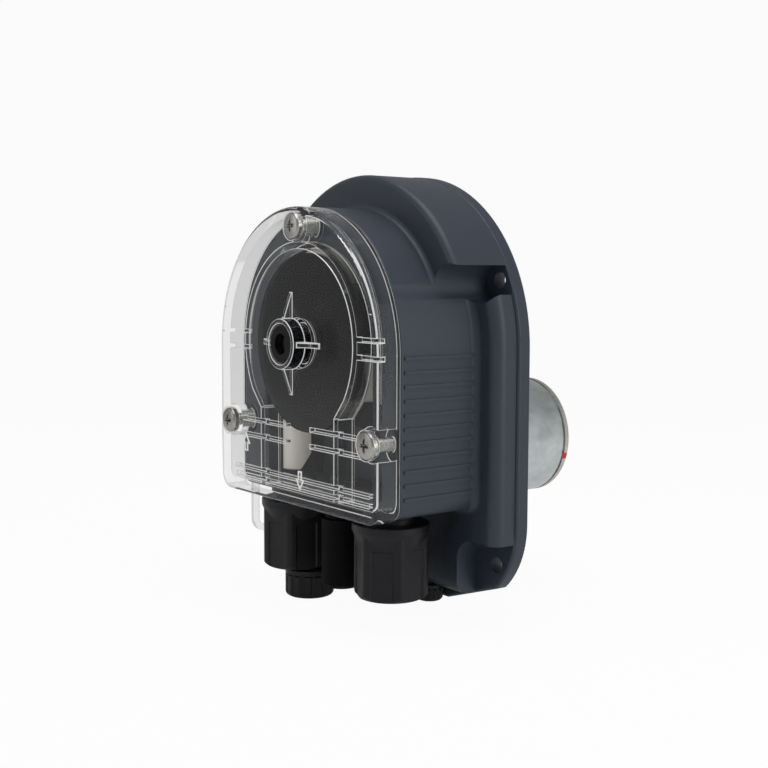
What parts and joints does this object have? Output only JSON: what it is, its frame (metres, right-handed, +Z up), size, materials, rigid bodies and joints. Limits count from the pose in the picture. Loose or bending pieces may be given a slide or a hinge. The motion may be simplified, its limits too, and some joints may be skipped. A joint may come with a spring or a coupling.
{
  "type": "peristaltic dosing pump",
  "caption": "Panel mounted peristaltic dosing pump: arched head with a clear cover, roller rotor and squeeze tube, hose nuts below, geared motor behind the flange.",
  "frame": {"origin": "centre of the four mounting holes, on the flange's back face", "axes": "+Z up, +Y back into the panel along the motor, -Y out through the clear cover, +X to the right"},
  "size_m": [0.11, 0.1109, 0.1427],
  "materials": {
    "housing_plastic": "fine moulded texture, matt",
    "plate_plastic": "fine moulded texture, matt",
    "clear_plastic": "clear, polished",
    "zinc_screws": "bright zinc plate",
    "rotor_plastic": "glossy black",
    "roller_plastic": "smooth, satin",
    "steel": "ground",
    "gear_plastic": "natural acetal, satin",
    "brass": "turned",
    "seal_rubber": "satin black",
    "tube_rubber": "cream, satin",
    "black_plastic": "satin black moulding",
    "collet_plastic": "smooth white",
    "motor_zinc": "zinc plated, drawn",
    "motor_cap_zinc": "zinc plated, pressed",
    "magnet": "sintered, matt",
    "armature_steel": "laminated, varnished",
    "terminal_red": "moulded insulator"
  },
  "bodies": {
    "root": {"main_housing": "housing_plastic", "gearbox_back_plate": "plate_plastic", "front_cover": "clear_plastic", "hose_guide_loop": "clear_plastic", "back_plate_screws": "zinc_screws", "cover_screws": "zinc_screws", "motor_screws": "zinc_screws", "idler_axle": "steel", "output_bush": "brass", "plate_bush": "brass", "motor_bushes": "brass", "cover_seal": "seal_rubber", "shaft_seal": "seal_rubber", "port_o_rings": "seal_rubber", "gland_seals": "seal_rubber", "squeeze_tube": "tube_rubber", "hose_adapter_left": "black_plastic", "hose_adapter_right": "black_plastic", "offset_hose_adapter": "black_plastic", "centre_plug": "black_plastic", "gland_bodies": "black_plastic", "hose_collets": "collet_plastic", "motor_can": "motor_zinc", "motor_end_cap": "motor_cap_zinc", "motor_magnet_ring": "magnet", "motor_terminals": "terminal_red", "polarity_tab": "terminal_red"},
    "rotor": {"rotor_hub": "rotor_plastic", "rotor_front_disc": "rotor_plastic", "roller_pins": "steel", "rotor_screw": "zinc_screws", "output_shaft": "steel", "output_gear": "gear_plastic"},
    "roller_a": {"roller_1": "roller_plastic"},
    "roller_b": {"roller_2": "roller_plastic"},
    "roller_c": {"roller_3": "roller_plastic"},
    "idler": {"idler_gear": "gear_plastic"},
    "motor_rotor": {"motor_shaft": "steel", "motor_pinion": "brass", "motor_armature": "armature_steel"},
    "hose_nut_left_body": {"hose_nut_left": "black_plastic"},
    "hose_nut_right_body": {"hose_nut_right": "black_plastic"},
    "small_nut_body": {"small_hose_nut": "black_plastic"},
    "gland_nut_left_body": {"gland_nut_left": "black_plastic"},
    "gland_nut_right_body": {"gland_nut_right": "black_plastic"}
  },
  "joints": [
    {"name": "rotor_spin", "type": "hinge", "parent": "root", "child": "rotor", "pos_m": [0, -0.032, 0.0242], "axis": [0, 1, 0], "continuous": true},
    {"name": "roller_1_spin", "type": "hinge", "parent": "rotor", "child": "roller_a", "pos_m": [0, -0.0321, 0.0449], "axis": [0, 1, 0], "continuous": true},
    {"name": "roller_2_spin", "type": "hinge", "parent": "rotor", "child": "roller_b", "pos_m": [-0.01793, -0.0321, 0.01385], "axis": [0, 1, 0], "continuous": true},
    {"name": "roller_3_spin", "type": "hinge", "parent": "rotor", "child": "roller_c", "pos_m": [0.01793, -0.0321, 0.01385], "axis": [0, 1, 0], "continuous": true},
    {"name": "idler_spin", "type": "hinge", "parent": "root", "child": "idler", "pos_m": [0.0168, -0.01, 0.00281], "axis": [0, 1, 0], "continuous": true},
    {"name": "motor_spin", "type": "hinge", "parent": "root", "child": "motor_rotor", "pos_m": [0, 0.02, -0.012], "axis": [0, 1, 0], "continuous": true},
    {"name": "hose_nut_left_turn", "type": "hinge", "parent": "root", "child": "hose_nut_left_body", "pos_m": [-0.0267, -0.0314, -0.045], "axis": [0, 0, 1], "continuous": true},
    {"name": "hose_nut_right_turn", "type": "hinge", "parent": "root", "child": "hose_nut_right_body", "pos_m": [0.0267, -0.0314, -0.045], "axis": [0, 0, 1], "continuous": true},
    {"name": "small_nut_turn", "type": "hinge", "parent": "root", "child": "small_nut_body", "pos_m": [-0.0227, -0.029, -0.062], "axis": [0, 0, 1], "continuous": true},
    {"name": "gland_nut_left_turn", "type": "hinge", "parent": "root", "child": "gland_nut_left_body", "pos_m": [-0.0191, -0.0096, -0.058], "axis": [0, 0, 1], "continuous": true},
    {"name": "gland_nut_right_turn", "type": "hinge", "parent": "root", "child": "gland_nut_right_body", "pos_m": [0.0191, -0.0096, -0.058], "axis": [0, 0, 1], "continuous": true}
  ],
  "couplings": [
    {"joint": "idler_spin", "follows": "rotor_spin", "ratio": -3.8571},
    {"joint": "motor_spin", "follows": "rotor_spin", "ratio": 14.143},
    {"joint": "roller_1_spin", "follows": "rotor_spin", "ratio": -3.76},
    {"joint": "roller_2_spin", "follows": "rotor_spin", "ratio": -3.76},
    {"joint": "roller_3_spin", "follows": "rotor_spin", "ratio": -3.76}
  ]
}
